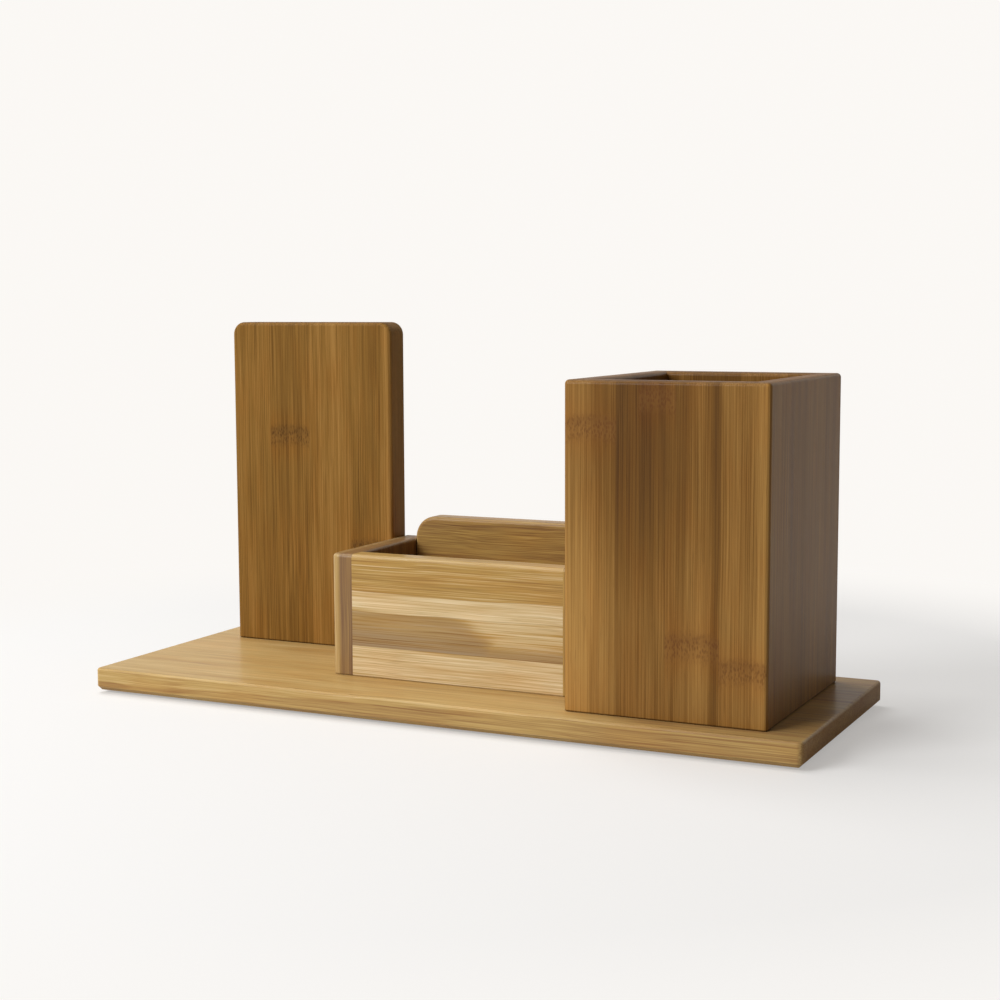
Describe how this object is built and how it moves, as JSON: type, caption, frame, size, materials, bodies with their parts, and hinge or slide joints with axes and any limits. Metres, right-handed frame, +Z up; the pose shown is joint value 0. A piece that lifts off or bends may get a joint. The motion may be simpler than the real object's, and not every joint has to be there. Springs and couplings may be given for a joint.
{
  "type": "desk organizer",
  "caption": "Bamboo desk organizer: a long base plate with an upright phone backrest, a low open note tray and a tall square pen cup.",
  "frame": {"origin": "middle of the underside, on the surface the organizer stands on", "axes": "+X along the base plate from the phone backrest to the pen cup, -Y to the front, +Z up"},
  "size_m": [0.279, 0.104, 0.1412],
  "materials": {
    "plate_bamboo": "satin varnish",
    "tray_bamboo": "satin varnish",
    "cup_bamboo": "satin varnish",
    "backrest_bamboo": "satin varnish",
    "floor_bamboo": "satin varnish",
    "joinery_wood": "raw",
    "screw_steel": "zinc plated",
    "pad_rubber": "matte"
  },
  "bodies": {
    "root": {"base_plate": "plate_bamboo", "phone_backrest": "backrest_bamboo", "tray_left_side": "tray_bamboo", "tray_right_side": "tray_bamboo", "tray_front": "tray_bamboo", "tray_back": "tray_bamboo", "tray_floor": "floor_bamboo", "cup_front": "cup_bamboo", "cup_back": "cup_bamboo", "cup_left": "cup_bamboo", "cup_right": "cup_bamboo", "cup_floor": "floor_bamboo", "tray_splines": "joinery_wood", "cup_splines": "joinery_wood", "backrest_screws": "screw_steel", "tray_screws": "screw_steel", "cup_screws": "screw_steel", "foot_pads": "pad_rubber"}
  },
  "joints": []
}
